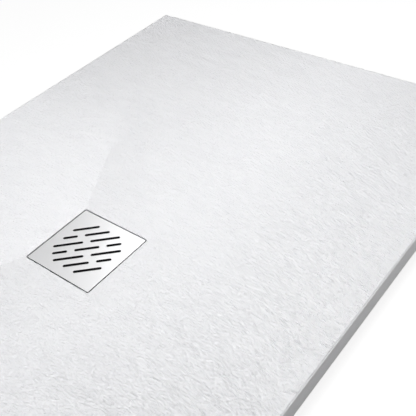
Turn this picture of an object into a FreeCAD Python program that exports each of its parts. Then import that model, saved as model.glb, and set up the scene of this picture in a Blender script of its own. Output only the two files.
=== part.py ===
import FreeCAD, Part
import math
import os
from FreeCAD import Vector

os.makedirs("parts", exist_ok=True)

# A shower tray: a slate-textured slab that falls to a square grate, with its drain trap below.
# Millimetres. Z = 0 is the slab's underside, X runs across it, Y along it, and the drain is at X = Y = 0.

# ---- the slab ----
tray_width = 700.0
tray_length = 1200.0
tray_height = 30.0
rim_radius = 1.5            # rounding along the rim and down the four corners
drain_drop = 4.0            # how far the floor falls from the rim to the grate
recess_depth = 10.0         # of the square recess that the grate lies in
recess_corner = 3.0
under_recess_depth = 4.0    # of the round recess under the slab that takes the trap's flange
under_recess_gap = 3.0      # around that flange

# ---- the grate ----
plate_side = 114.0
plate_thickness = 1.5
plate_corner = 1.5
plate_gap = 1.8             # between the plate and the recess wall, all round
plate_sink = 1.0            # the plate's top lies this much under the floor beside it
slot_width = 4.0
slot_pitch = 13.6           # from row to row
slot_bridge = 9.7           # metal between two slots of one row
short_slot = 20.4
row_margin = 21.0           # from a row's end to the plate's edge, along the row
centre_margin = 33.4        # the same for the row on the diagonal
stud_radius = 2.0
stud_length = 6.0
foot_radius = 4.5
foot_inset = 8.0            # from the plate's edge to a foot's centre

# ---- seals and the clamping flange ----
flange_gap = 1.8            # between the round flanges and the recess wall
seat_width = 12.0           # of slab between the drain hole and the flanges' rim
gasket_thickness = 2.0
gasket_inset = 1.0          # the upper gasket is narrower than its seat by this, on both sides
clamp_thickness = 3.0
sleeve_wall = 2.0
sleeve_length = 24.0        # below the flange
ledge_width = 2.2           # of the step that the siphon cup's collar lies on
ledge_depth = 1.5

# ---- screws ----
screw_radius = 2.0
screw_head_radius = 3.7
screw_head_depth = 2.0
screw_socket_radius = 1.45
screw_socket_depth = 1.3
screw_count = 4
screw_start_angle = 21.0
screw_bite = 13.0           # below the top of the boss
screw_play = 0.25           # in the flange's holes
insert_radius = 2.8
insert_length = 7.0
boss_radius = 3.6
boss_inset = 0.4            # from the collar's outside to the bosses
boss_bottom_wall = 3.0
tip_space = 1.0             # under a screw's tip
press_gap = 0.05            # between pieces that are pressed or screwed together

# ---- trap body ----
collar_gap = 0.6            # between the collar and the drain hole
collar_wall = 2.0
collar_drop = 2.0           # the collar and its bosses end this far under the recess floor
body_flange_thickness = 4.0
pot_wall = 3.0
pot_margin = 1.0            # the pot's bore is wider than the drain hole by this
pot_floor_gap = 5.0         # under the siphon cup
rib_count = 8
rib_thickness = 3.0
rib_height = 12.0

# ---- siphon cup, dip tube and strainer ----
slide_gap = 0.3             # round each piece that lifts out
boss_clearance = 0.8        # between the sleeve and the screw bosses
ring_wall = 4.2
cup_step = 1.5              # width of the step in the cup that the dip tube lies on
cup_step_depth = 7.0        # that step under the flange's top
window_height = 11.5
strap_width = 10.0
strap_count = 4
bowl_inset = 0.5            # the bowl is narrower than the cup's ring
bowl_wall = 1.6
bowl_floor = 1.5
seal_depth = 28.0           # water that stands between the bowl's rim and the dip tube's end
dip_floor_gap = 6.0
dip_collar_thickness = 3.0
dip_head_wall = 2.6
dip_head_height = 10.0
dip_funnel_height = 10.0
dip_funnel_step = 7.6       # the funnel narrows by this much
dip_wall = 2.0
o_ring_section = 1.8
o_ring_gap = 0.1            # between an O-ring and the bore that it slides in
groove_play = 0.2
cup_groove_depth = 11.5     # each O-ring's middle, under its collar
dip_groove_depth = 5.0
strainer_gap = 0.4
strainer_wall = 1.6
strainer_rim = 1.5
strainer_depth = 12.0
strainer_floor = 1.5
strainer_hole_radius = 1.6
strainer_rings = ((6, 0.33), (12, 0.61), (18, 0.88))    # holes, and the ring's share of the floor's radius
knob_stem_radius = 2.5
knob_radius = 5.0
knob_thickness = 2.0
knob_rise = 2.5             # the knob's top over the strainer's rim

# ---- outlet ----
socket_radius = 20.3        # takes a pipe of 40 mm
pipe_stop = 2.3             # the step that the pipe's end meets
spigot_wall = 3.7
spigot_length = 31.0        # out of the pot's wall
outlet_floor = 4.0          # the bore's lowest line over the pot's floor
socket_depth = 22.0
mouth_depth = 5.0           # of the cone in the spigot's mouth
mouth_wall = 1.0
seal_stand = 2.0            # the seal stands out of the mouth by this
slip_ring_thickness = 1.5
nut_wall = 4.7
nut_grip = 12.0             # how far the nut reaches over the spigot
nut_lip = 2.5
nut_lip_gap = 0.3
nut_lugs = 6
nut_lug_width = 7.0
nut_lug_height = 1.2

# ---- the outlet's radii ----
outlet_bore = socket_radius - pipe_stop
spigot_radius = socket_radius + spigot_wall

# ---- heights, from the rim down ----
drain_top = tray_height - drain_drop
recess_floor = drain_top - recess_depth
plate_top = drain_top - plate_sink
plate_under = plate_top - plate_thickness
clamp_under = recess_floor + gasket_thickness
clamp_top = clamp_under + clamp_thickness
boss_top = recess_floor - collar_drop
screw_tip = boss_top - screw_bite
body_flange_top = under_recess_depth - gasket_thickness
body_flange_under = body_flange_top - body_flange_thickness
ledge_top = clamp_top - ledge_depth
sleeve_end = clamp_under - sleeve_length
cup_step_top = clamp_top - cup_step_depth
bowl_rim = sleeve_end - window_height
dip_end = bowl_rim - seal_depth
bowl_inside = dip_end - dip_floor_gap
bowl_under = bowl_inside - bowl_floor
pot_inside = bowl_under - pot_floor_gap
pot_under = pot_inside - pot_wall
outlet_height = pot_inside + outlet_floor + outlet_bore
dip_top = cup_step_top + dip_collar_thickness
dip_head_under = cup_step_top - dip_head_height
dip_funnel_end = dip_head_under - dip_funnel_height

# ---- radii, from the recess inwards ----
recess_side = plate_side + 2 * plate_gap
flange_radius = recess_side / 2 - flange_gap
hole_radius = flange_radius - seat_width
under_recess_radius = flange_radius + under_recess_gap
collar_radius = hole_radius - collar_gap
screw_circle = collar_radius - boss_inset - boss_radius
sleeve_radius = screw_circle - boss_radius - boss_clearance
sleeve_bore = sleeve_radius - sleeve_wall
ledge_radius = sleeve_bore + ledge_width
ring_radius = sleeve_bore - slide_gap
ring_bore = ring_radius - ring_wall
cup_bore = ring_bore + cup_step
bowl_radius = ring_radius - bowl_inset
dip_head_radius = ring_bore - slide_gap
dip_head_bore = dip_head_radius - dip_head_wall
dip_bore = dip_head_bore - dip_funnel_step
strainer_radius = dip_head_bore - strainer_gap
pot_bore = hole_radius + pot_margin
pot_radius = pot_bore + pot_wall

# ---- distances out along the outlet, from the drain's axis ----
spigot_root = math.sqrt(pot_bore ** 2 - spigot_radius ** 2)     # where its sides meet the pot's bore
spigot_end = pot_radius + spigot_length
socket_end = spigot_end - mouth_depth
socket_start = spigot_end - socket_depth
seal_end = spigot_end + seal_stand
slip_ring_end = seal_end + slip_ring_thickness
nut_start = spigot_end - nut_grip
nut_end = slip_ring_end + nut_lip


def cylinder(radius, low, high, x=0.0, y=0.0):
    """A round bar along Z between two heights."""
    return Part.makeCylinder(radius, high - low, Vector(x, y, low))


def ring(inner, outer, low, high):
    """A flat ring or a tube about the Z axis."""
    return cylinder(outer, low, high).cut(cylinder(inner, low, high))


def turned(corners):
    """A solid turned about the Z axis from (radius, height) corners."""
    points = [Vector(radius, 0, height) for radius, height in corners]
    face = Part.Face(Part.makePolygon(points + points[:1]))
    return face.revolve(Vector(0, 0, 0), Vector(0, 0, 1), 360)


def block(size_x, size_y, low, high):
    """A rectangular block centred on the Z axis."""
    return Part.makeBox(size_x, size_y, high - low, Vector(-size_x / 2, -size_y / 2, low))


def upright_edges(shape):
    """The edges that run along Z."""
    return [e for e in shape.Edges if abs(e.tangentAt(e.FirstParameter).z) > 0.99]


def rectangle(size_x, size_y, height):
    """A closed rectangular outline centred on the Z axis."""
    half_x = size_x / 2
    half_y = size_y / 2
    corners = [Vector(-half_x, -half_y, height), Vector(half_x, -half_y, height),
               Vector(half_x, half_y, height), Vector(-half_x, half_y, height)]
    return Part.makePolygon(corners + corners[:1])


def along_outlet(shape):
    """Lays a shape made up the Z axis along the outlet, which leaves the pot towards -X."""
    laid = shape.copy()
    laid.rotate(Vector(0, 0, 0), Vector(0, 1, 0), -90)
    laid.translate(Vector(0, 0, outlet_height))
    return laid


def screw_places():
    """The screws' centres on their circle."""
    angles = [math.radians(screw_start_angle + 360 * k / screw_count) for k in range(screw_count)]
    return [(screw_circle * math.cos(a), screw_circle * math.sin(a)) for a in angles]


def foot_places():
    """The four feet's centres under the grate."""
    reach = plate_side / 2 - foot_inset
    return [(-reach, -reach), (reach, -reach), (reach, reach), (-reach, reach)]


def make_slab():
    """The slab, with the four planes of its floor falling to the recess round the drain."""
    slab = block(tray_width, tray_length, 0, tray_height)
    top_edges = [e for e in slab.Edges if e.BoundBox.ZMin > tray_height - 0.01]
    slab = slab.makeFillet(rim_radius, upright_edges(slab) + top_edges)
    rim = rectangle(tray_width - 2 * rim_radius, tray_length - 2 * rim_radius, tray_height)
    fall = Part.makeLoft([rim, rectangle(recess_side, recess_side, drain_top)], True, True)
    recess = block(recess_side, recess_side, recess_floor, drain_top + 1)
    recess = recess.makeFillet(recess_corner, upright_edges(recess))
    hole = cylinder(hole_radius, -1, recess_floor + 1)
    under_recess = cylinder(under_recess_radius, -1, under_recess_depth)
    return slab.cut(fall).cut(recess).cut(hole).cut(under_recess)


def slot_rows():
    """Each slot as (start, end, row height), in the plate's diagonal directions."""
    half_diagonal = plate_side / math.sqrt(2)
    slots = []
    for row in range(-3, 4):
        height = row * slot_pitch
        margin = row_margin if row else centre_margin
        reach = half_diagonal - abs(height) - margin
        if abs(row) == 3:
            spans = [(-reach, reach)]
        elif abs(row) == 2:
            spans = [(-reach, short_slot - reach), (short_slot + slot_bridge - reach, reach)]
        elif abs(row) == 1:
            spans = [(-reach, -slot_bridge / 2), (slot_bridge / 2, reach)]
        else:
            middle = reach - short_slot - slot_bridge
            spans = [(-reach, short_slot - reach), (-middle, middle), (reach - short_slot, reach)]
        if row == -2:
            spans = [(-end, -start) for start, end in spans]
        slots += [(start, end, height) for start, end in spans]
    return slots


def make_slot(start, end, height):
    """One round-ended slot, as the solid that is cut out of the plate."""
    radius = slot_width / 2
    low = plate_under - 1
    high = plate_top + 1
    length = end - start - slot_width
    bar = Part.makeBox(length, slot_width, high - low, Vector(start + radius, height - radius, low))
    ends = [cylinder(radius, low, high, x, height) for x in (start + radius, end - radius)]
    return bar.fuse(ends)


def make_grate_plate():
    """The square plate, its slots in rows along one diagonal."""
    plate = block(plate_side, plate_side, plate_under, plate_top)
    plate = plate.makeFillet(plate_corner, upright_edges(plate))
    slots = Part.makeCompound([make_slot(*slot) for slot in slot_rows()])
    slots.rotate(Vector(0, 0, 0), Vector(0, 0, 1), 45)
    return plate.cut(slots)


def make_foot(x, y):
    """A rubber foot, from the recess floor to the plate, with a blind hole for its stud."""
    foot = cylinder(foot_radius, recess_floor, plate_under, x, y)
    hole = cylinder(stud_radius + press_gap, plate_under - stud_length, plate_under + 1, x, y)
    return foot.cut(hole)


def make_clamping_flange():
    """The flange that presses the upper gasket down, with the sleeve that holds the siphon cup."""
    flange = ring(sleeve_bore, flange_radius, clamp_under, clamp_top)
    sleeve = ring(sleeve_bore, sleeve_radius, sleeve_end, clamp_under)
    flange = flange.fuse(sleeve).removeSplitter()
    flange = flange.cut(cylinder(ledge_radius, ledge_top, clamp_top + 1))
    for x, y in screw_places():
        flange = flange.cut(cylinder(screw_radius + screw_play, clamp_under - 1, clamp_top + 1, x, y))
        sink = turned([(0, clamp_top), (screw_head_radius + press_gap, clamp_top),
                       (screw_radius + press_gap, clamp_top - screw_head_depth),
                       (0, clamp_top - screw_head_depth)])
        sink.translate(Vector(x, y, 0))
        flange = flange.cut(sink)
    return flange


def make_screw(x, y):
    """A countersunk screw with a six-sided socket."""
    shape = turned([(0, screw_tip), (screw_radius, screw_tip),
                    (screw_radius, clamp_top - screw_head_depth),
                    (screw_head_radius, clamp_top), (0, clamp_top)])
    corners = [Vector(screw_socket_radius * math.cos(math.radians(60 * k)),
                      screw_socket_radius * math.sin(math.radians(60 * k)),
                      clamp_top - screw_socket_depth) for k in range(6)]
    socket = Part.Face(Part.makePolygon(corners + corners[:1]))
    socket = socket.extrude(Vector(0, 0, screw_socket_depth + 1))
    shape = shape.cut(socket)
    shape.translate(Vector(x, y, 0))
    return shape


def make_insert(x, y):
    """A brass insert that one screw turns into."""
    insert = ring(screw_radius + press_gap, insert_radius, boss_top - insert_length, boss_top)
    insert.translate(Vector(x, y, 0))
    return insert


def make_rib(angle):
    """A stiffening rib between the pot's wall and the flange."""
    start = pot_radius - pot_wall / 2
    low = body_flange_under - rib_height
    corners = [Vector(start, 0, low), Vector(pot_radius, 0, low),
               Vector(flange_radius, 0, body_flange_under), Vector(start, 0, body_flange_under)]
    rib = Part.Face(Part.makePolygon(corners + corners[:1])).extrude(Vector(0, rib_thickness, 0))
    rib.translate(Vector(0, -rib_thickness / 2, 0))
    rib.rotate(Vector(0, 0, 0), Vector(0, 0, 1), angle)
    return rib


def make_trap_body():
    """The pot under the slab, with its flange, collar, screw bosses, ribs and outlet spigot."""
    outside = [cylinder(collar_radius, body_flange_top, boss_top),
               cylinder(flange_radius, body_flange_under, body_flange_top),
               cylinder(pot_radius, pot_under, body_flange_under),
               along_outlet(cylinder(spigot_radius, spigot_root, spigot_end))]
    outside += [make_rib(360 * (k + 0.5) / rib_count) for k in range(rib_count)]
    body = outside[0].fuse(outside[1:]).removeSplitter()
    collar_bore = collar_radius - collar_wall
    inside = [cylinder(collar_bore, body_flange_under - 1, boss_top + 1),
              cylinder(pot_bore, pot_inside, body_flange_under)]
    body = body.cut(inside)
    boss_under = screw_tip - tip_space - boss_bottom_wall
    body = body.fuse([cylinder(boss_radius, boss_under, boss_top, x, y) for x, y in screw_places()])
    body = body.removeSplitter()
    for x, y in screw_places():
        body = body.cut(cylinder(insert_radius + press_gap, boss_top - insert_length, boss_top + 1, x, y))
        body = body.cut(cylinder(screw_radius + screw_play, screw_tip - tip_space, boss_top, x, y))
    mouth_radius = spigot_radius - mouth_wall
    ways = [cylinder(outlet_bore, 0, spigot_end),
            cylinder(socket_radius, socket_start, spigot_end + 1),
            turned([(0, socket_end), (socket_radius, socket_end), (mouth_radius, spigot_end),
                    (mouth_radius, spigot_end + 1), (0, spigot_end + 1)])]
    return body.cut([along_outlet(way) for way in ways])


def o_ring(radius, height):
    """A round ring whose outer edge is at the radius given."""
    section = o_ring_section / 2
    return Part.makeTorus(radius - section, section, Vector(0, 0, height))


def make_siphon_cup():
    """The cup that holds the water seal: a ring that hangs in the sleeve, straps, and a bowl."""
    groove = cup_groove()
    half_groove = o_ring_section / 2 + groove_play
    groove_radius = sleeve_bore - o_ring_gap - o_ring_section
    head = turned([(cup_bore, clamp_top), (ledge_radius - slide_gap, clamp_top),
                   (ledge_radius - slide_gap, ledge_top), (ring_radius, ledge_top),
                   (ring_radius, groove + half_groove), (groove_radius, groove + half_groove),
                   (groove_radius, groove - half_groove), (ring_radius, groove - half_groove),
                   (ring_radius, sleeve_end), (ring_bore, sleeve_end),
                   (ring_bore, cup_step_top), (cup_bore, cup_step_top)])
    bowl_bore = bowl_radius - bowl_wall
    bowl = turned([(0, bowl_under), (bowl_radius, bowl_under), (bowl_radius, bowl_rim),
                   (bowl_bore, bowl_rim), (bowl_bore, bowl_inside), (0, bowl_inside)])
    wall = ring(bowl_bore, bowl_radius, bowl_rim, sleeve_end)
    straps = []
    for k in range(strap_count):
        cutter = Part.makeBox(bowl_radius + 1, strap_width, window_height,
                              Vector(0, -strap_width / 2, bowl_rim))
        cutter.rotate(Vector(0, 0, 0), Vector(0, 0, 1), 360 * (k + 0.5) / strap_count)
        straps.append(wall.common(cutter))
    return head.fuse(straps + [bowl]).removeSplitter()


def cup_groove():
    """The height of the cup's O-ring."""
    return ledge_top - cup_groove_depth


def dip_groove():
    """The height of the dip tube's O-ring."""
    return cup_step_top - dip_groove_depth


def make_dip_tube():
    """The tube that dips into the bowl's water, with its funnel and its collar."""
    half_groove = o_ring_section / 2 + groove_play
    groove_radius = ring_bore - o_ring_gap - o_ring_section
    return turned([(dip_head_bore, dip_top), (cup_bore - slide_gap, dip_top),
                   (cup_bore - slide_gap, cup_step_top), (dip_head_radius, cup_step_top),
                   (dip_head_radius, dip_groove() + half_groove),
                   (groove_radius, dip_groove() + half_groove),
                   (groove_radius, dip_groove() - half_groove),
                   (dip_head_radius, dip_groove() - half_groove),
                   (dip_head_radius, dip_head_under), (dip_bore + dip_wall, dip_funnel_end),
                   (dip_bore + dip_wall, dip_end), (dip_bore, dip_end),
                   (dip_bore, dip_funnel_end), (dip_head_bore, dip_head_under)])


def make_strainer():
    """The hair strainer, a basket with holes in its floor and a knob to pull it out by."""
    rim_top = dip_top + strainer_rim
    under = dip_top - strainer_depth
    floor_top = under + strainer_floor
    knob_top = rim_top + knob_rise
    wall_bore = strainer_radius - strainer_wall
    rim_radius_out = cup_bore - strainer_gap
    strainer = turned([(0, under), (strainer_radius, under), (strainer_radius, dip_top),
                       (rim_radius_out, dip_top), (rim_radius_out, rim_top), (wall_bore, rim_top),
                       (wall_bore, floor_top), (knob_stem_radius, floor_top),
                       (knob_stem_radius, knob_top - knob_thickness),
                       (knob_radius, knob_top - knob_thickness), (knob_radius, knob_top),
                       (0, knob_top)])
    holes = []
    for count, share in strainer_rings:
        radius = share * wall_bore
        for k in range(count):
            angle = 2 * math.pi * k / count
            holes.append(cylinder(strainer_hole_radius, under - 1, floor_top + 0.5,
                                  radius * math.cos(angle), radius * math.sin(angle)))
    return strainer.cut(holes)


def make_outlet_nut():
    """The union nut on the spigot, with grip lugs and the lip that presses the seal in."""
    bore = spigot_radius + nut_lip_gap
    outer = bore + nut_wall
    nut = turned([(bore, nut_start), (outer, nut_start), (outer, nut_end),
                  (socket_radius + nut_lip_gap, nut_end), (socket_radius + nut_lip_gap, slip_ring_end),
                  (bore, slip_ring_end)])
    lugs = []
    for k in range(nut_lugs):
        lug = Part.makeBox(nut_wall / 2 + nut_lug_height, nut_lug_width, nut_end - nut_start,
                           Vector(outer - nut_wall / 2, -nut_lug_width / 2, nut_start))
        lug.rotate(Vector(0, 0, 0), Vector(0, 0, 1), 360 * (k + 0.5) / nut_lugs)
        lugs.append(lug)
    return along_outlet(nut.fuse(lugs).removeSplitter())


def make_outlet_seal():
    """The tapered rubber seal between the pipe and the spigot's mouth."""
    mouth_radius = spigot_radius - mouth_wall
    inner = socket_radius + nut_lip_gap
    slope = mouth_depth / (mouth_radius - socket_radius)
    lead = press_gap + nut_lip_gap * slope
    seal = turned([(inner, socket_end + lead), (mouth_radius, spigot_end + press_gap),
                   (mouth_radius, seal_end), (inner, seal_end)])
    return along_outlet(seal)


def make_slip_ring():
    """The ring that lets the nut turn without dragging the seal."""
    inner = socket_radius + nut_lip_gap
    return along_outlet(ring(inner, spigot_radius, seal_end, slip_ring_end))


parts = {
    "tray_slab": make_slab(),
    "grate_plate": make_grate_plate(),
    "clamping_flange": make_clamping_flange(),
    "flange_screws": Part.makeCompound([make_screw(x, y) for x, y in screw_places()]),
    "screw_inserts": Part.makeCompound([make_insert(x, y) for x, y in screw_places()]),
    "upper_gasket": ring(hole_radius + gasket_inset, flange_radius - gasket_inset,
                         recess_floor, clamp_under),
    "lower_gasket": ring(hole_radius, flange_radius, body_flange_top, under_recess_depth),
    "trap_body": make_trap_body(),
    "siphon_cup": make_siphon_cup(),
    "cup_o_ring": o_ring(sleeve_bore - o_ring_gap, cup_groove()),
    "dip_tube": make_dip_tube(),
    "dip_tube_o_ring": o_ring(ring_bore - o_ring_gap, dip_groove()),
    "hair_strainer": make_strainer(),
    "outlet_nut": make_outlet_nut(),
    "outlet_seal": make_outlet_seal(),
    "outlet_slip_ring": make_slip_ring(),
}
for number, (x, y) in enumerate(foot_places(), 1):
    parts[f"grate_stud_{number}"] = cylinder(stud_radius, plate_under - stud_length, plate_under, x, y)
    parts[f"grate_foot_{number}"] = make_foot(x, y)

for node, shape in parts.items():
    shape.exportStep(f"parts/{node}.step")
    print(node, "valid" if shape.isValid() else "NOT VALID", len(shape.Solids), "solid",
          round(shape.Volume), "mm3")
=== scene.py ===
import math

import bmesh
import bpy
import numpy as np
from mathutils import Matrix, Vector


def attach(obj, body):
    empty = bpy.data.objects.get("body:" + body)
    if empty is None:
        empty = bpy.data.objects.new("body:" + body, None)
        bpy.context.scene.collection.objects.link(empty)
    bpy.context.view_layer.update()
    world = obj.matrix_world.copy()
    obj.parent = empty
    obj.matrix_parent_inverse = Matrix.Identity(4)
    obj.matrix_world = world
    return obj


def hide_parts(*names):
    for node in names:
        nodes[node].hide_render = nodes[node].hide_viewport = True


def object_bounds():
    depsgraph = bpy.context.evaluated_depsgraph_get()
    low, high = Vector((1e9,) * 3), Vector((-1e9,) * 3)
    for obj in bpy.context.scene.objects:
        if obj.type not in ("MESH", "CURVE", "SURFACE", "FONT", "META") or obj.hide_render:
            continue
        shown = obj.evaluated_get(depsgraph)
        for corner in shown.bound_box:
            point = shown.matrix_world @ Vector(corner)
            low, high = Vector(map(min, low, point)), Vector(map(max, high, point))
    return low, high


# A slate-textured shower tray with a slotted steel grate and the drain trap under it.
# Metres. Z = 0 is the slab's underside, X runs across it, Y along it, the drain is at X = Y = 0.

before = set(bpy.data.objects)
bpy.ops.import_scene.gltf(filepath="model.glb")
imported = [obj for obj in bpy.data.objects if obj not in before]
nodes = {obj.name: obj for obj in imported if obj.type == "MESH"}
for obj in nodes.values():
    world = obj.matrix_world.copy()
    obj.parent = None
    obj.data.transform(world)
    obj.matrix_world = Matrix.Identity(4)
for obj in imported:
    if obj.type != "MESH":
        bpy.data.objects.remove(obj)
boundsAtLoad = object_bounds()
print("frame:", len(nodes), "nodes")


# One output socket, so that sums on sockets read as plain arithmetic
class Wire:
    def __init__(self, paint, socket):
        self.paint = paint
        self.socket = socket

    def maths(self, operation, first, second):
        return self.paint.node("ShaderNodeMath", {"operation": operation}, {0: first, 1: second})

    def __add__(self, other):
        return self.maths("ADD", self, other)

    def __radd__(self, other):
        return self.maths("ADD", other, self)

    def __sub__(self, other):
        return self.maths("SUBTRACT", self, other)

    def __rsub__(self, other):
        return self.maths("SUBTRACT", other, self)

    def __mul__(self, other):
        return self.maths("MULTIPLY", self, other)

    def __rmul__(self, other):
        return self.maths("MULTIPLY", other, self)

    def __abs__(self):
        return self.maths("ABSOLUTE", self, 0.0)

    def __gt__(self, other):
        return self.maths("GREATER_THAN", self, other)

    def __lt__(self, other):
        return self.maths("LESS_THAN", self, other)


# The node tree of one material or of the world
class Paint:
    def __init__(self, owner):
        owner.use_nodes = True
        self.owner = owner
        self.tree = owner.node_tree
        self.tree.nodes.clear()

    # Any node: its settings are set first, then the values or links of its sockets
    def node(self, kind, settings=None, sockets=None, out=0):
        made = self.tree.nodes.new(kind)
        for key, value in (settings or {}).items():
            setattr(made, key, value)
        for key, value in (sockets or {}).items():
            if isinstance(value, Wire):
                self.tree.links.new(value.socket, made.inputs[key])
            else:
                made.inputs[key].default_value = value
        return Wire(self, made.outputs[out]) if made.outputs else None

    # Vector maths; a length comes out of the socket Value
    def vector(self, operation, first, second=(0, 0, 0), out="Vector"):
        return self.node("ShaderNodeVectorMath", {"operation": operation},
                         {0: first, 1: second}, out)

    # Object coordinates or another spot, turned about Z and stretched by a factor along each axis
    def place(self, stretch=(1, 1, 1), turn=0.0, spot=None):
        spot = spot or self.node("ShaderNodeTexCoord", out="Object")
        if turn:
            spot = self.node("ShaderNodeVectorRotate", {"rotation_type": "Z_AXIS"},
                             {"Vector": spot, "Angle": turn})
        return self.vector("MULTIPLY", spot, stretch)

    # The X, Y or Z of a spot
    def axis(self, name, spot=None):
        return self.node("ShaderNodeSeparateXYZ", None, {"Vector": spot or self.place()}, name)

    # Noise whose middle is 0.5; size is the width of its patches
    def noise(self, size, detail, rough, stretch=(1, 1, 1), turn=0.0, twist=0.0, spot=None):
        return self.node("ShaderNodeTexNoise", None,
                         {"Vector": self.place(stretch, turn, spot), "Scale": 1 / size,
                          "Detail": detail, "Roughness": rough, "Distortion": twist})

    # A colour between two others
    def blend(self, share, first, second):
        return self.node("ShaderNodeMix", {"data_type": "RGBA"}, {0: share, 6: first, 7: second}, 2)

    # Smooth passage of a value from 0 at low to 1 at high
    def slope(self, value, low, high):
        return self.node("ShaderNodeMapRange", {"interpolation_type": "SMOOTHSTEP"},
                         {"Value": value, "From Min": low, "From Max": high})

    # The normal of a height, over the surface's own normal or over another one
    def bump(self, height, distance, under=None):
        sockets = {"Height": height, "Distance": distance, "Strength": 1.0}
        if under:
            sockets["Normal"] = under
        return self.node("ShaderNodeBump", None, sockets)

    # Links the surface to the tree's output
    def finish(self, surface):
        isWorld = isinstance(self.owner, bpy.types.World)
        kind = "ShaderNodeOutputWorld" if isWorld else "ShaderNodeOutputMaterial"
        self.node(kind, None, {"Surface": surface})
        return self.owner


# An opaque colour
def colour(red, green, blue):
    return (red, green, blue, 1.0)


# The camera, fitted to the photograph's edges
camera = {
    "place": (0.55989, -0.42189, 0.66887),
    "right": (0.772516, 0.628432, -0.091064),
    "down": (0.355881, -0.547249, -0.757540),
    "ahead": (-0.525897, 0.552804, -0.646405),
    "focalPixels": 698.82,
    "centrePixels": (167.30, 205.98),
    "pictureSide": 416,
    "sensorWidth": 36.0,
    "nearest": 0.01,
}


# A matrix whose columns are an object's own X, Y and Z directions and its place
def axesMatrix(across, up, back, place):
    turned = np.eye(4)
    turned[:3, :] = np.column_stack([across, up, back, place])
    return Matrix(turned.tolist())


# The camera looks along its own -Z; its shift is the picture's centre less the middle, as a share
def makeCamera():
    side = camera["pictureSide"]
    data = bpy.data.cameras.new("pictureCamera")
    data.sensor_width = camera["sensorWidth"]
    data.lens = camera["focalPixels"] / side * data.sensor_width
    data.shift_x = 0.5 - camera["centrePixels"][0] / side
    data.shift_y = camera["centrePixels"][1] / side - 0.5
    data.clip_start = camera["nearest"]
    made = bpy.data.objects.new("pictureCamera", data)
    made.matrix_world = axesMatrix(camera["right"], -np.array(camera["down"]),
                                   -np.array(camera["ahead"]), camera["place"])
    bpy.context.scene.collection.objects.link(made)
    bpy.context.scene.camera = made


makeCamera()
print("camera: focal length", camera["focalPixels"], "pixels")

# The slab: one casting with a falling floor, a square recess, a drain hole and a round recess below
slab = {
    "halfX": 0.350,
    "halfY": 0.600,
    "height": 0.030,
    "rim": 0.0015,
    "drop": 0.004,
    "fallPower": 0.50,          # under 1, the floor is steeper near the grate
    "fallStart": 0.015,         # keeps that steepness finite
    "recessHalf": 0.0588,
    "recessCorner": 0.003,
    "recessFloor": 0.016,
    "holeRadius": 0.045,
    "underRadius": 0.060,
    "underDepth": 0.004,
    "cellsAcross": (58, 23),    # from the rim to the recess, and over the recess
    "cellsAlong": (257, 56),
    "cornerLines": (0.0, 22.5, 45.0),   # degrees round the recess's corners
    "rimRings": 4,
    "cornerSteps": 4,
    "sharpAngle": 38,
}
edgeSlack = 1e-6                # a grid line this near to the recess's edge counts as on it

# The slate relief; a wave is its lengths across and along the tray, its fall-off and its turn
slate = {
    "cell": 0.001,              # of the grid that the relief is worked out on
    "seed": 41,
    "swellWave": (0.045, 0.030, 4.0, 0.0),
    "swellRise": 0.00003,
    "ruffleWave": (0.003, 0.0015, 3.0, 0.0),
    "layers": [
        {"seed": 2, "wave": (0.0065, 0.0026, 3.4, 0.10), "share": 1.5, "ruffle": 0.22,
         "width": 0.22, "rise": 0.00012},
        {"seed": 4, "wave": (0.009, 0.0034, 3.4, -0.45), "share": 1.3, "ruffle": 0.16,
         "width": 0.25, "rise": 0.00008},
    ],
    "wrinkleWave": (0.0022, 0.0010, 3.2, 0.06),
    "wrinkleRise": 0.00010,
    "meanSink": 0.00040,        # the relief's mean level under the floor
    "rimSink": 0.00016,         # its level along the rim
    "recessSink": 0.00060,      # and round the recess
    "rimFade": 0.004,
    "recessFade": 0.003,
    "edgeShare": 0.35,          # of the relief that is left at the rim and the recess
    "bend": (-0.03, 0.60, 0.95),    # the grain's clockwise turn at the drain, per metre of X and Y
}


# Smooth random heights with a standard deviation of 1: white noise whose spectrum is multiplied by
# (1 + (kx * lengthX)^2 + (ky * lengthY)^2) ^ (-fall / 2), with kx and ky turned by an angle
def randomHeights(seed, lengthX, lengthY, fall, turn):
    rows = int(round(2 * slab["halfY"] / slate["cell"])) + 1
    columns = int(round(2 * slab["halfX"] / slate["cell"])) + 1
    random = np.random.default_rng(slate["seed"] + seed)
    white = np.fft.rfft2(random.standard_normal((rows, columns)))
    waveY = 2 * np.pi * np.fft.fftfreq(rows, slate["cell"])[:, None]
    waveX = 2 * np.pi * np.fft.rfftfreq(columns, slate["cell"])[None, :]
    across = waveX * math.cos(turn) + waveY * math.sin(turn)
    along = waveY * math.cos(turn) - waveX * math.sin(turn)
    weight = (1 + (across * lengthX) ** 2 + (along * lengthY) ** 2) ** (-fall / 2)
    heights = np.fft.irfft2(white * weight, s=(rows, columns))
    return (heights - heights.mean()) / heights.std()


# Smooth passage from 0 to 1: 3 t^2 - 2 t^3 of the share t
def eased(share):
    share = np.clip(share, 0, 1)
    return share * share * (3 - 2 * share)


# Layers of slate: the whole part of the height, and a rise of a given width before each next layer
def layered(heights, width):
    whole = np.floor(heights)
    return whole + eased((heights - whole - (1 - width)) / width)


# The relief over the whole floor: a slow swell, two sets of cleft layers with ruffled edges, and
# fine wrinkles, all longer across the tray than along it
def slateRelief():
    relief = slate["swellRise"] * randomHeights(1, *slate["swellWave"])
    for layer in slate["layers"]:
        heights = layer["share"] * randomHeights(layer["seed"], *layer["wave"])
        heights += layer["ruffle"] * randomHeights(layer["seed"] + 1, *slate["ruffleWave"])
        relief += layer["rise"] * layered(heights, layer["width"])
    return relief + slate["wrinkleRise"] * randomHeights(6, *slate["wrinkleWave"])


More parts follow.
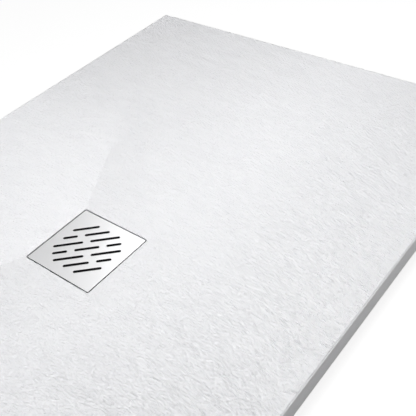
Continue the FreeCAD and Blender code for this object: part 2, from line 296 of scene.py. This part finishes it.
# The value of a height grid at points between its lines, weighted by the nearness of the four round
# it; the grid repeats itself past its edges
def sampled(grid, x, y):
    rows, columns = grid.shape
    column = (x + slab["halfX"]) / slate["cell"] % columns
    row = (y + slab["halfY"]) / slate["cell"] % rows
    left = column.astype(int) % columns
    low = row.astype(int) % rows
    right = column - left
    high = row - low
    nextLeft = (left + 1) % columns
    nextLow = (low + 1) % rows
    return ((1 - right) * (1 - high) * grid[low, left] + right * (1 - high) * grid[low, nextLeft]
            + (1 - right) * high * grid[nextLow, left] + right * high * grid[nextLow, nextLeft])


# Distances along and across the slate's grain, whose direction turns by 0.03 - 0.6 x - 0.95 y
# radians from X over the tray; x and y are arrays or sockets
def alongGrain(x, y):
    start, byX, byY = slate["bend"]
    return (x - y * (x * byX + y * (byY / 2) + start),
            y * (x * byY + 1.0) + x * (x * (byX / 2) + start))


# Grid lines from rim to rim: equal cells outside the recess and over it, and three more lines at
# each of the recess's rounded corners
def gridLines(half, cells):
    inner = slab["recessHalf"]
    outside = np.linspace(inner, half - slab["rim"], cells[0] + 1)
    over = np.linspace(-inner, inner, cells[1] + 1)[1:-1]
    coarse = np.concatenate([-outside[::-1], over, outside])
    turn = inner - slab["recessCorner"] * (1 - np.sin(np.radians(slab["cornerLines"])))
    return coarse, np.sort(np.concatenate([coarse, -turn, turn]))


# The falling floor's height: its lowest level plus the drop times a power of the larger of the two
# shares of the way from the recess to the rim
def floorHeight(x, y):
    inner = slab["recessHalf"]
    shareX = (np.abs(x) - inner) / (slab["halfX"] - slab["rim"] - inner)
    shareY = (np.abs(y) - inner) / (slab["halfY"] - slab["rim"] - inner)
    share = np.clip(np.maximum(shareX, shareY), 0, 1)
    power, start = slab["fallPower"], slab["fallStart"]
    rise = ((share + start) ** power - start ** power) / ((1 + start) ** power - start ** power)
    return slab["height"] - slab["drop"] + slab["drop"] * rise


# The floor's grid: its lines in X and Y, its points, and their depth in the relief. The relief is
# faded to an even level at the rim and the recess, and the lines beside the recess bend round its
# corners: each point moves to the corner's radius from the corner's middle
def floorGrid():
    coarseX, lineX = gridLines(slab["halfX"], slab["cellsAcross"])
    coarseY, lineY = gridLines(slab["halfY"], slab["cellsAlong"])
    relief = slateRelief()
    relief = relief - relief.mean() - slate["meanSink"]
    heights = np.minimum(sampled(relief, *alongGrain(*np.meshgrid(coarseX, coarseY))), 0.0)
    acrossLines = np.array([np.interp(lineX, coarseX, row) for row in heights])
    heights = np.array([np.interp(lineY, coarseY, column) for column in acrossLines.T]).T
    x, y = np.meshgrid(lineX, lineY)

    inner = slab["recessHalf"]
    turn = inner - slab["recessCorner"]
    farther = np.maximum(np.abs(x), np.abs(y))
    onEdge = (np.abs(farther - inner) < edgeSlack) & (np.minimum(np.abs(x), np.abs(y)) > turn)
    awayX = np.abs(x) - turn
    awayY = np.abs(y) - turn
    away = np.where(onEdge, np.hypot(awayX, awayY), 1)
    reach = slab["recessCorner"] / away
    bentX = np.where(onEdge, np.sign(x) * (turn + awayX * reach), x)
    bentY = np.where(onEdge, np.sign(y) * (turn + awayY * reach), y)

    fromRim = np.minimum(slab["halfX"] - slab["rim"] - np.abs(x),
                         slab["halfY"] - slab["rim"] - np.abs(y))
    fromRecess = farther - inner
    fade = eased(fromRim / slate["rimFade"]) * eased(fromRecess / slate["recessFade"])
    textured = slate["edgeShare"] + (1 - slate["edgeShare"]) * fade
    edgeLevel = np.where(fromRim < fromRecess, slate["rimSink"], slate["recessSink"])
    z = floorHeight(x, y) + textured * heights - (1 - textured) * edgeLevel
    return lineX, lineY, np.stack([bentX, bentY, z], -1), heights


# A mesh that grows ring by ring
class Shell:
    def __init__(self):
        self.points = []
        self.quads = []
        self.triangles = []
        self.total = 0

    # New points from their (x, y) rows and their level or levels; gives their numbers
    def add(self, flat, level):
        self.points.append(np.column_stack([flat, np.broadcast_to(level, len(flat))]))
        self.total += len(flat)
        return np.arange(self.total - len(flat), self.total)

    # Quads between two closed rings of the same length, or triangles where a point of the first one
    # stands still
    def join(self, first, second):
        nextFirst = np.roll(first, -1)
        nextSecond = np.roll(second, -1)
        quads = np.stack([first, second, nextSecond, nextFirst], 1)
        pinched = first == nextFirst
        self.quads.append(quads[~pinched])
        self.triangles.append(quads[pinched][:, :3])


# Triangles between an outer ring and an inner one of fewer points, both sorted by their angle
def zipFaces(outer, outerAngle, inner, innerAngle):
    count = len(inner)
    reached = np.searchsorted(innerAngle, outerAngle, side="right") - 1
    following = np.append(reached[1:], reached[0] + count)
    nextOuter = np.roll(outer, -1)
    faces = [np.stack([outer, inner[reached % count], nextOuter], 1)]
    for step in range(int((following - reached).max())):
        passed = following - reached > step
        start = reached[passed] + step
        faces.append(np.stack([nextOuter[passed], inner[start % count],
                               inner[(start + 1) % count]], 1))
    return np.concatenate(faces)


# A mesh from point rows and face rows, shaded smooth except at its sharp edges
def meshFrom(name, points, faceRows, sharpAngle):
    mesh = bpy.data.meshes.new(name)
    mesh.from_pydata(points.tolist(), [], [face for rows in faceRows for face in rows.tolist()])
    mesh.validate()
    mesh.shade_smooth()
    mesh.set_sharp_from_angle(angle=math.radians(sharpAngle))
    made = bpy.data.objects.new(name, mesh)
    bpy.context.scene.collection.objects.link(made)
    return made


# Rings from the grid's edge over the rounded rim and down the sides: outwards by rim * sin(angle),
# and down to the rounding's foot as cos(angle). At a corner the edge's point stands still while
# the outward direction turns by a quarter
def addSides(shell, index, spots):
    steps = slab["cornerSteps"]
    sides = [index[0, :], index[:, -1], index[-1, ::-1], index[::-1, 0]]
    edge = np.concatenate([np.append(side[1:-1], np.full(steps + 1, side[-1])) for side in sides])
    facing = np.radians(np.concatenate([
        90.0 * k - 90.0 + np.append(np.zeros(len(side) - 2), np.linspace(0, 90, steps + 1))
        for k, side in enumerate(sides)]))
    outward = np.stack([np.cos(facing), np.sin(facing)], 1)
    ring = edge
    shoulder = slab["height"] - slab["rim"]
    for angle in np.radians(np.linspace(0, 90, slab["rimRings"] + 1)[1:]):
        around = spots[edge, :2] + outward * slab["rim"] * math.sin(angle)
        level = shoulder + (spots[edge, 2] - shoulder) * math.cos(angle)
        following = shell.add(around, level)
        shell.join(ring, following)
        ring = following
    foot = shell.add(around, 0.0)
    shell.join(ring, foot)
    return foot, around


# Rings from the round recess in the underside up through the drain hole to the square recess: each
# has a point at the angle of every grid point on the square's edge
def addDrainHole(shell, index, spots, lineX, lineY, foot, around):
    columns = np.where(np.abs(lineX) < slab["recessHalf"] + edgeSlack)[0]
    rows = np.where(np.abs(lineY) < slab["recessHalf"] + edgeSlack)[0]
    left, right, low, high = columns[0], columns[-1], rows[0], rows[-1]
    mouth = np.concatenate([index[low, left:right], index[low:high, right],
                            index[high, right:left:-1], index[high:low:-1, left]])
    start = math.atan2(around[0, 1], around[0, 0])
    angle = np.arctan2(spots[mouth, 1], spots[mouth, 0])
    order = np.argsort((angle - start) % (2 * np.pi))
    mouth = mouth[order]
    angle = angle[order]
    circle = np.column_stack([np.cos(angle), np.sin(angle)])
    under, hole = slab["underRadius"] * circle, slab["holeRadius"] * circle
    ring = lowest = shell.add(under, 0.0)
    for flat, level in [(under, slab["underDepth"]), (hole, slab["underDepth"]),
                        (hole, slab["recessFloor"]), (spots[mouth, :2], slab["recessFloor"])]:
        following = shell.add(flat, level)
        shell.join(ring, following)
        ring = following
    shell.join(ring, mouth)
    footAngle = (np.arctan2(around[:, 1], around[:, 0]) - start) % (2 * np.pi)
    shell.triangles.append(zipFaces(foot, footAngle, lowest, (angle - start) % (2 * np.pi)))


# The slab: the height grid without the cells over the recess, the rings round its rim and sides,
# and the rings through its hole. Its attributes are a point's depth in the relief, as a share of
# twice the mean depth, which darkens the coat as painted shade, and 1 on the grid and 0 elsewhere
def makeSlab():
    lineX, lineY, grid, heights = floorGrid()
    spots = grid.reshape(-1, 3)
    shell = Shell()
    index = shell.add(spots[:, :2], spots[:, 2]).reshape(heights.shape)
    middleX = (lineX[1:] + lineX[:-1]) / 2
    middleY = (lineY[1:] + lineY[:-1]) / 2
    solid = ((np.abs(middleX)[None, :] > slab["recessHalf"])
             | (np.abs(middleY)[:, None] > slab["recessHalf"]))
    cells = np.stack([index[:-1, :-1], index[:-1, 1:], index[1:, 1:], index[1:, :-1]], -1)
    shell.quads.append(cells[solid])
    foot, around = addSides(shell, index, spots)
    addDrainHole(shell, index, spots, lineX, lineY, foot, around)

    points = np.concatenate(shell.points)
    quads = np.concatenate(shell.quads)
    triangles = np.concatenate(shell.triangles)
    used = np.unique(np.concatenate([quads.ravel(), triangles.ravel()]))
    renumbered = np.full(len(points), -1)
    renumbered[used] = np.arange(len(used))
    made = meshFrom("slateSlab", points[used], [renumbered[quads], renumbered[triangles]],
                    slab["sharpAngle"])

    depth = np.zeros(len(points))
    depth[:heights.size] = np.clip(-heights.ravel() / (2 * slate["meanSink"]), 0, 1)
    top = np.zeros(len(points))
    top[:heights.size] = 1.0
    for name, values in (("slateDepth", depth), ("slateTop", top)):
        attribute = made.data.attributes.new(name, "FLOAT", "POINT")
        attribute.data.foreach_set("value", values[used].astype(np.float32))
    return made


# A noise is its size, detail, roughness, stretch, turn and distortion
gelCoat = {
    "colour": colour(0.838, 0.839, 0.856),
    # painted shade: the coat's colour deep in the relief's hollows
    "creviceShadeColour": colour(0.788, 0.790, 0.812),
    "stoneColour": colour(0.560, 0.545, 0.515),
    "darkStoneColour": colour(0.48, 0.465, 0.44),
    "roughness": 0.34,
    "patchRoughness": 0.06,
    "stoneRoughness": 0.3,      # added where the stone is bare
    "gloss": 0.5,
    "patchNoise": (0.035, 3, 0.6, (0.5, 1, 1)),
    "gritNoise": (0.0011, 3, 0.6),
    "fineNoise": (0.0023, 1.8, 0.5, (0.38, 1, 1), 0.0, 0.3),
    "ridgeNoise": (0.0048, 1.0, 0.5, (0.36, 1, 1), 0.07, 0.4),
    "ridgeSharpness": 5,
    "reliefShares": (0.95, 0.16, 0.03),     # of the fine noise, the crests and the grit
    "reliefHeight": 0.0022,
    "shadeShares": (0.40, 0.15, 0.15),      # of the depth, as painted shade in the hollows, of the patches, and everywhere
    "roughRight": (0.02, 0.33),     # X from which the slate gets rougher, and where it is roughest
    "roughNear": (0.02, -0.20),     # the same in Y
    "roughGain": (0.98, 0.17),
    "roughLeast": 0.84,
    "lean": 0.28,
    "leanFade": (0.05, 0.36),
    "bareLevel": 0.0004,            # bare stone lies under this level
    "holeMargin": (0.0005, 0.0002), # round the hole and under the recess's floor
}


# The part of the floor left of the grate, between its two creases, leans more in its shading: the
# surface's normal plus a lean along X that fades away from the drain's line
def leaningNormal(paint, x, y, top):
    inner = slab["recessHalf"]
    outX = (x + inner) * (-1 / (slab["halfX"] - slab["rim"] - inner))
    outY = (abs(y) - inner) * (1 / (slab["halfY"] - slab["rim"] - inner))
    within = (outY < outX) * (outX > 0.0)
    lean = within * top * gelCoat["lean"] * (1 - paint.slope(abs(y), *gelCoat["leanFade"]))
    leaning = paint.node("ShaderNodeCombineXYZ", None, {"X": lean})
    upright = paint.node("ShaderNodeNewGeometry", out="Normal")
    return paint.vector("NORMALIZE", paint.vector("ADD", upright, leaning))


# The white gel coat over the slate relief, darkened in the relief's hollows by painted shade, and
# the bare stone resin under the slab and in its hole
def paintSlate():
    paint = Paint(bpy.data.materials.new("slateGelCoat"))
    depth = paint.node("ShaderNodeAttribute", {"attribute_name": "slateDepth"}, out="Fac")
    top = paint.node("ShaderNodeAttribute", {"attribute_name": "slateTop"}, out="Fac")
    x, y, z = paint.axis("X"), paint.axis("Y"), paint.axis("Z")
    along, across = alongGrain(x, y)
    grain = paint.node("ShaderNodeCombineXYZ", None, {"X": along, "Y": across})
    patches = paint.noise(*gelCoat["patchNoise"], spot=grain)
    grit = paint.noise(*gelCoat["gritNoise"])
    fine = paint.noise(*gelCoat["fineNoise"], spot=grain)
    ridges = paint.noise(*gelCoat["ridgeNoise"], spot=grain)
    crests = 1 - abs((ridges - 0.5) * gelCoat["ridgeSharpness"])

    aside, below = gelCoat["holeMargin"]
    fromDrain = paint.vector("LENGTH", paint.place((1, 1, 0)), out="Value")
    inHole = (fromDrain < slab["underRadius"] + aside) * (z < slab["recessFloor"] - below)
    bare = paint.node("ShaderNodeMath", {"operation": "MAXIMUM"},
                      {0: inHole, 1: z < gelCoat["bareLevel"]})
    byDepth, byPatch, everywhere = gelCoat["shadeShares"]
    # painted shade: the coat darkens with its depth in the relief; the patches vary its tone at
    # random
    shade = depth * byDepth + patches * byPatch + everywhere
    coat = paint.blend(shade, gelCoat["colour"], gelCoat["creviceShadeColour"])
    stone = paint.blend(grit, gelCoat["stoneColour"], gelCoat["darkStoneColour"])

    byFine, byCrest, byGrit = gelCoat["reliefShares"]
    relief = fine * byFine + crests * byCrest + grit * byGrit
    gainRight, gainNear = gelCoat["roughGain"]
    rougher = (paint.slope(x, *gelCoat["roughRight"]) * gainRight
               + paint.slope(y, *gelCoat["roughNear"]) * gainNear + gelCoat["roughLeast"])
    normal = paint.bump(relief * rougher * top, gelCoat["reliefHeight"],
                        leaningNormal(paint, x, y, top))
    surface = paint.node("ShaderNodeBsdfPrincipled", None, {
        "Base Color": paint.blend(bare, coat, stone),
        "Roughness": (gelCoat["roughness"] + patches * gelCoat["patchRoughness"]
                      + bare * gelCoat["stoneRoughness"]),
        "Specular IOR Level": gelCoat["gloss"], "Normal": normal})
    return paint.finish(surface)


slabPiece = makeSlab()
slabPiece.data.materials.append(paintSlate())
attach(slabPiece, "tray")
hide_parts("tray_slab")
print("slab:", len(slabPiece.data.vertices), "points")

# The grate's plate, with slots along one of its diagonals
plate = {
    "side": 0.114,
    "top": 0.0250,
    "thickness": 0.0015,
    "corner": 0.0015,
    "cornerSteps": 6,
    "edgeRound": 0.0002,
    "edgeSteps": 2,
    "slotWidth": 0.0043,
    "slotPitch": 0.0136,
    "slotBridge": 0.0097,
    "shortSlot": 0.0204,
    "slotSteps": 9,
    "rowMargin": 0.021,         # from a row's last slot to the plate's edge along the row
    "centreMargin": 0.0334,     # the same in the row through the plate's middle
    "sharpAngle": 13,
    "seamWidth": 2e-6,          # points nearer than this are merged
    "shortestEdge": 1e-7,
    "steelColour": colour(0.70, 0.702, 0.708),
    "roughness": 0.30,
    "paintedShadeDepth": 0.00005,        # under the top, where the painted shade on the slots' walls, the edges and the underside begins
}


# Each slot as (start, end, height of its row), in directions along the plate's diagonals
def slotRows():
    slots = []
    short, bridge = plate["shortSlot"], plate["slotBridge"]
    for row in range(-3, 4):
        height = row * plate["slotPitch"]
        margin = plate["rowMargin"] if row else plate["centreMargin"]
        reach = plate["side"] / math.sqrt(2) - abs(height) - margin
        spans = {
            3: [(-reach, reach)],
            2: [(-reach, short - reach), (short + bridge - reach, reach)],
            1: [(-reach, -bridge / 2), (bridge / 2, reach)],
            0: [(-reach, short - reach), (short + bridge - reach, reach - short - bridge),
                (reach - short, reach)],
        }[abs(row)]
        if row == -2:
            spans = [(-end, -start) for start, end in spans]
        slots += [(start, end, height) for start, end in spans]
    return slots


# A closed outline: four corner arcs round a rectangle with its middle at (centreX, centreY), then
# the whole turned about the plate's middle
def roundedOutline(centreX, centreY, halfX, halfY, radius, turn, steps):
    angle = np.radians(np.concatenate([np.linspace(90 * k, 90 * k + 90, steps) for k in range(4)]))
    cornerX = np.repeat([1, -1, -1, 1], steps) * (halfX - radius)
    cornerY = np.repeat([1, 1, -1, -1], steps) * (halfY - radius)
    x = centreX + cornerX + radius * np.cos(angle)
    y = centreY + cornerY + radius * np.sin(angle)
    return np.column_stack([x * math.cos(turn) - y * math.sin(turn),
                            x * math.sin(turn) + y * math.cos(turn)])


# The plate: its outline and its slots as one flat curve with a small rounding on every edge
def makePlate():
    curve = bpy.data.curves.new("plateOutline", "CURVE")
    curve.dimensions = "2D"
    curve.fill_mode = "BOTH"
    edge = plate["edgeRound"]
    curve.extrude = plate["thickness"] / 2 - edge
    curve.bevel_depth = edge
    curve.bevel_resolution = plate["edgeSteps"]
    half = plate["side"] / 2 - edge
    outlines = [roundedOutline(0, 0, half, half, plate["corner"] - edge, 0, plate["cornerSteps"])]
    width = plate["slotWidth"] / 2 + edge
    for start, end, height in slotRows():
        outlines.append(roundedOutline((start + end) / 2, height, (end - start) / 2 + edge, width,
                                       width, math.pi / 4, plate["slotSteps"]))
    for outline in outlines:
        spline = curve.splines.new("POLY")
        spline.points.add(len(outline) - 1)
        rows = np.column_stack([outline, np.zeros(len(outline)), np.ones(len(outline))])
        spline.points.foreach_set("co", rows.ravel())
        spline.use_cyclic_u = True
    drawn = bpy.data.objects.new("plateOutline", curve)
    bpy.context.scene.collection.objects.link(drawn)
    evaluated = drawn.evaluated_get(bpy.context.evaluated_depsgraph_get())
    mesh = bpy.data.meshes.new_from_object(evaluated)
    bpy.data.objects.remove(drawn)
    mesh.name = "steelPlate"
    mesh.transform(Matrix.Translation((0, 0, plate["top"] - plate["thickness"] / 2)))
    merged = bmesh.new()
    merged.from_mesh(mesh)
    bmesh.ops.remove_doubles(merged, verts=merged.verts, dist=plate["seamWidth"])
    bmesh.ops.dissolve_degenerate(merged, edges=merged.edges, dist=plate["shortestEdge"])
    bmesh.ops.recalc_face_normals(merged, faces=merged.faces)
    merged.to_mesh(mesh)
    merged.free()
    mesh.shade_smooth()
    mesh.set_sharp_from_angle(angle=math.radians(plate["sharpAngle"]))
    made = bpy.data.objects.new("steelPlate", mesh)
    bpy.context.scene.collection.objects.link(made)
    return made


brushing = {
    "brushNoise": (0.00045, 4, 0.6, (0.012, 1, 1)),
    "cloudNoise": (0.018, 3, 0.55),
    "darkest": 0.93,            # of the steel's own colour
    "brushRoughness": 0.10,
    "cloudRoughness": 0.04,
    "brushDepth": 0.000012,
    # painted shade, near black, for the plate's slot walls, edges and underside
    "paintedShadeColour": colour(0.02, 0.02, 0.021),
}


# Satin stainless steel, brushed along one direction, and painted near black as shade under a given
# height, where one is given
def paintSteel(name, tone, roughness, turn=0.0, shadeBelow=None):
    paint = Paint(bpy.data.materials.new(name))
    brushed = paint.noise(*brushing["brushNoise"], turn)
    cloudy = paint.noise(*brushing["cloudNoise"])
    shade = brushed * 0.5 + cloudy * 0.5
    darker = colour(*[value * brushing["darkest"] for value in tone[:3]])
    steel = paint.blend(shade, tone, darker)
    if shadeBelow:
        # painted shade: near black under the given height, on the plate's slot walls, edges and
        # underside
        steel = paint.blend(paint.axis("Z") < shadeBelow, steel, brushing["paintedShadeColour"])
    surface = paint.node("ShaderNodeBsdfPrincipled", None, {
        "Base Color": steel, "Metallic": 1.0,
        "Roughness": (roughness + (brushed - 0.5) * brushing["brushRoughness"]
                      + (cloudy - 0.5) * brushing["cloudRoughness"]),
        "Normal": paint.bump(brushed, brushing["brushDepth"])})
    return paint.finish(surface)


platePiece = makePlate()
plateSteel = paintSteel("plateSteel", plate["steelColour"], plate["roughness"],
                        shadeBelow=plate["top"] - plate["paintedShadeDepth"])
platePiece.data.materials.clear()
platePiece.data.materials.append(plateSteel)
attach(platePiece, "grate")
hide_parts("grate_plate")
print("plate:", len(platePiece.data.vertices), "points")

# Finishes of the pieces that keep their own shape
finishes = {
    "blackPlastic": {"tone": colour(0.012, 0.012, 0.013), "cloud": colour(0.022, 0.022, 0.024),
                     "roughness": 0.62, "grain": 0.0006, "depth": 0.000035, "patch": 0.012,
                     "gloss": 0.25},
    "trapPlastic": {"tone": colour(0.79, 0.80, 0.80), "cloud": colour(0.70, 0.715, 0.72),
                    "roughness": 0.34, "grain": 0.0012, "depth": 0.00003, "patch": 0.020,
                    "gloss": 0.5},
    "nutPlastic": {"tone": colour(0.050, 0.050, 0.054), "cloud": colour(0.075, 0.075, 0.08),
                   "roughness": 0.38, "grain": 0.0009, "depth": 0.00003, "patch": 0.010,
                   "gloss": 0.5},
    "ringPlastic": {"tone": colour(0.85, 0.85, 0.83), "cloud": colour(0.78, 0.78, 0.755),
                    "roughness": 0.42, "grain": 0.0008, "depth": 0.00002, "patch": 0.010,
                    "gloss": 0.5},
    "blackRubber": {"tone": colour(0.028, 0.028, 0.028), "cloud": colour(0.060, 0.059, 0.057),
                    "roughness": 0.74, "grain": 0.0005, "depth": 0.00005, "patch": 0.006,
                    "gloss": 0.5},
}
moulding = {
    "cloudShare": 0.7,
    "cloudDetail": (4, 0.6),
    "grainDetail": (2, 0.5),
    "cloudPassage": (0.35, 0.75),   # readings between which the tone passes into the clouds' colour
    "cloudRoughness": 0.16,
    "grainRoughness": 0.08,
    "grainShare": 0.8,
}
brass = {
    "pale": colour(0.80, 0.63, 0.32),
    "deep": colour(0.66, 0.49, 0.22),
    "ringNoise": (0.0004, 3, 0.5, (0.15, 0.15, 1)),
    "cloudNoise": (0.004, 3, 0.6),
    "roughness": 0.26,
    "cloudRoughness": 0.14,
    "depth": 0.00003,
}
screws = {"steelColour": colour(0.085, 0.085, 0.09), "roughness": 0.36, "brushTurn": 0.8}


# Moulded plastic or rubber: faint clouds in its colour and a fine grain from the mould
def paintMoulded(name, facts):
    paint = Paint(bpy.data.materials.new(name))
    clouds = paint.noise(facts["patch"], *moulding["cloudDetail"])
    grain = paint.noise(facts["grain"], *moulding["grainDetail"])
    cloudShare, grainShare = moulding["cloudShare"], moulding["grainShare"]
    share = paint.slope(clouds * cloudShare + grain * (1 - cloudShare), *moulding["cloudPassage"])
    surface = paint.node("ShaderNodeBsdfPrincipled", None, {
        "Base Color": paint.blend(share, facts["tone"], facts["cloud"]),
        "Roughness": (facts["roughness"] + (clouds - 0.5) * moulding["cloudRoughness"]
                      + (grain - 0.5) * moulding["grainRoughness"]),
        "Specular IOR Level": facts["gloss"],
        "Normal": paint.bump(grain * grainShare + clouds * (1 - grainShare), facts["depth"])})
    return paint.finish(surface)


# Turned brass: faint clouds in its colour, and flat rings from the lathe in its bump
def paintBrass():
    paint = Paint(bpy.data.materials.new("turnedBrass"))
    turned = paint.noise(*brass["ringNoise"])
    clouds = paint.noise(*brass["cloudNoise"])
    surface = paint.node("ShaderNodeBsdfPrincipled", None, {
        "Base Color": paint.blend(clouds, brass["pale"], brass["deep"]), "Metallic": 1.0,
        "Roughness": brass["roughness"] + clouds * brass["cloudRoughness"],
        "Normal": paint.bump(turned, brass["depth"])})
    return paint.finish(surface)


paints = {name: paintMoulded(name, facts) for name, facts in finishes.items()}
paints["turnedBrass"] = paintBrass()
paints["plateSteel"] = plateSteel
paints["screwSteel"] = paintSteel("screwSteel", screws["steelColour"], screws["roughness"],
                                  screws["brushTurn"])
painted = {
    "blackPlastic": ["clamping_flange", "siphon_cup", "dip_tube", "hair_strainer"],
    "trapPlastic": ["trap_body"],
    "nutPlastic": ["outlet_nut"],
    "ringPlastic": ["outlet_slip_ring"],
    "blackRubber": ["upper_gasket", "lower_gasket", "cup_o_ring", "dip_tube_o_ring", "outlet_seal"]
                   + [f"grate_foot_{k}" for k in range(1, 5)],
    "turnedBrass": ["screw_inserts"],
    "screwSteel": ["flange_screws"],
    "plateSteel": [f"grate_stud_{k}" for k in range(1, 5)],
}
for paintName, nodeNames in painted.items():
    for nodeName in nodeNames:
        for place in nodes[nodeName].material_slots:
            place.material = paints[paintName]
print("finishes:", len(paints))

# The studio: a pale floor, a white surround and three soft lamps
studio = {
    "floorLevel": boundsAtLoad[0][2] - 0.0005,      # just under the trap
    "floorHalf": 6.0,
    "floorAlbedo": 0.20,
    "floorWhite": 0.86,         # added where the camera or a reflection sees the floor
    "floorFade": (1.0, 3.5),    # it turns to the sky's white over these distances
    "skyLeft": 0.75,            # light from below the horizon, for the sides and the underside
    "skyRight": 0.12,
    "skyTurn": (-0.25, 0.25),   # from the left's light to the right's
    "skyEnd": (-0.12, 0.0),     # and from full light to none, up to the horizon
    "glossRise": (0.25, 0.75),  # the mirrored sky is grey near the horizon and white above
    "lampAim": (0.0, 0.0, 0.02),
    # name: bearing from +X and height above the floor in degrees, distance, side and power
    "lamps": {
        "frontLamp": (276, 45, 5.5, 1.9, 147.0),
        "backLamp": (130, 46, 5.5, 1.0, 13.5),
        "sideLamp": (36, 65.0, 1.48, 0.5, 18.0),
    },
}


# 1 for a ray of the camera or of a reflection or through a clear thing, and 0 for the light's own
def seenBy(paint):
    rays = [paint.node("ShaderNodeLightPath", out=name)
            for name in ("Is Camera Ray", "Is Glossy Ray", "Is Transmission Ray")]
    total = rays[0] + rays[1] + rays[2]
    return paint.node("ShaderNodeMath", {"operation": "MINIMUM"}, {0: total, 1: 1.0})


# A square lamp at a bearing, a height angle and a distance from the point that it faces
def makeLamp(name, bearing, height, distance, side, power):
    data = bpy.data.lights.new(name, "AREA")
    data.shape = "SQUARE"
    data.size = side
    data.energy = power
    lamp = bpy.data.objects.new(name, data)
    level = math.cos(height)
    back = np.array([level * math.cos(bearing), level * math.sin(bearing), math.sin(height)])
    across = np.array([-math.sin(bearing), math.cos(bearing), 0.0])
    place = np.array(studio["lampAim"]) + distance * back
    lamp.matrix_world = axesMatrix(across, np.cross(back, across), back, place)
    bpy.context.scene.collection.objects.link(lamp)


# A square floor: matt, with white added where it is seen, and clear from below and to the light
# that bounces off the object
def makeFloor():
    half, level = studio["floorHalf"], studio["floorLevel"]
    corners = np.array([[-half, -half, level], [half, -half, level], [half, half, level],
                        [-half, half, level]])
    floor = meshFrom("studioFloor", corners, [np.array([[0, 1, 2, 3]])], slab["sharpAngle"])
    paint = Paint(bpy.data.materials.new("paleFloor"))
    grey = colour(*[studio["floorAlbedo"]] * 3)
    matt = paint.node("ShaderNodeBsdfDiffuse", None, {"Color": grey})
    away = paint.vector("LENGTH", paint.place(), out="Value")
    faded = paint.slope(away, *studio["floorFade"]) * (1 - studio["floorWhite"])
    glow = seenBy(paint) * (studio["floorWhite"] + faded)
    lit = paint.node("ShaderNodeAddShader", None,
                     {0: matt, 1: paint.node("ShaderNodeEmission", None, {"Strength": glow})})
    under = paint.node("ShaderNodeNewGeometry", out="Backfacing")
    bounced = paint.node("ShaderNodeLightPath", out="Is Diffuse Ray")
    clear = paint.node("ShaderNodeMath", {"operation": "MAXIMUM"}, {0: under, 1: bounced})
    surface = paint.node("ShaderNodeMixShader", None,
                         {0: clear, 1: lit, 2: paint.node("ShaderNodeBsdfTransparent")})
    floor.data.materials.append(paint.finish(surface))


# The surround: white where it is seen, with a grey horizon in reflections. Its light comes from
# below the horizon alone, more of it from the left
def makeSky():
    world = bpy.data.worlds.new("paleStudio")
    bpy.context.scene.world = world
    sky = Paint(world)
    direction = sky.node("ShaderNodeTexCoord", out="Generated")
    rise = sky.axis("Z", direction)
    rightShare = sky.slope(sky.axis("X", direction), *studio["skyTurn"])
    fromSide = studio["skyLeft"] + rightShare * (studio["skyRight"] - studio["skyLeft"])
    light = (1 - sky.slope(rise, *studio["skyEnd"])) * fromSide
    seen = seenBy(sky)
    glossy = sky.node("ShaderNodeLightPath", out="Is Glossy Ray")
    shown = 1 - glossy * (1 - sky.slope(rise, *studio["glossRise"]))
    strength = light * (1 - seen) + seen * shown
    sky.finish(sky.node("ShaderNodeBackground", None,
                        {"Color": colour(1, 1, 1), "Strength": strength}))


makeFloor()
makeSky()
for name, (bearing, height, distance, side, power) in studio["lamps"].items():
    makeLamp(name, math.radians(bearing), math.radians(height), distance, side, power)
view = bpy.context.scene.view_settings
view.view_transform = "Standard"
print("studio:", len(studio["lamps"]), "soft lamps")
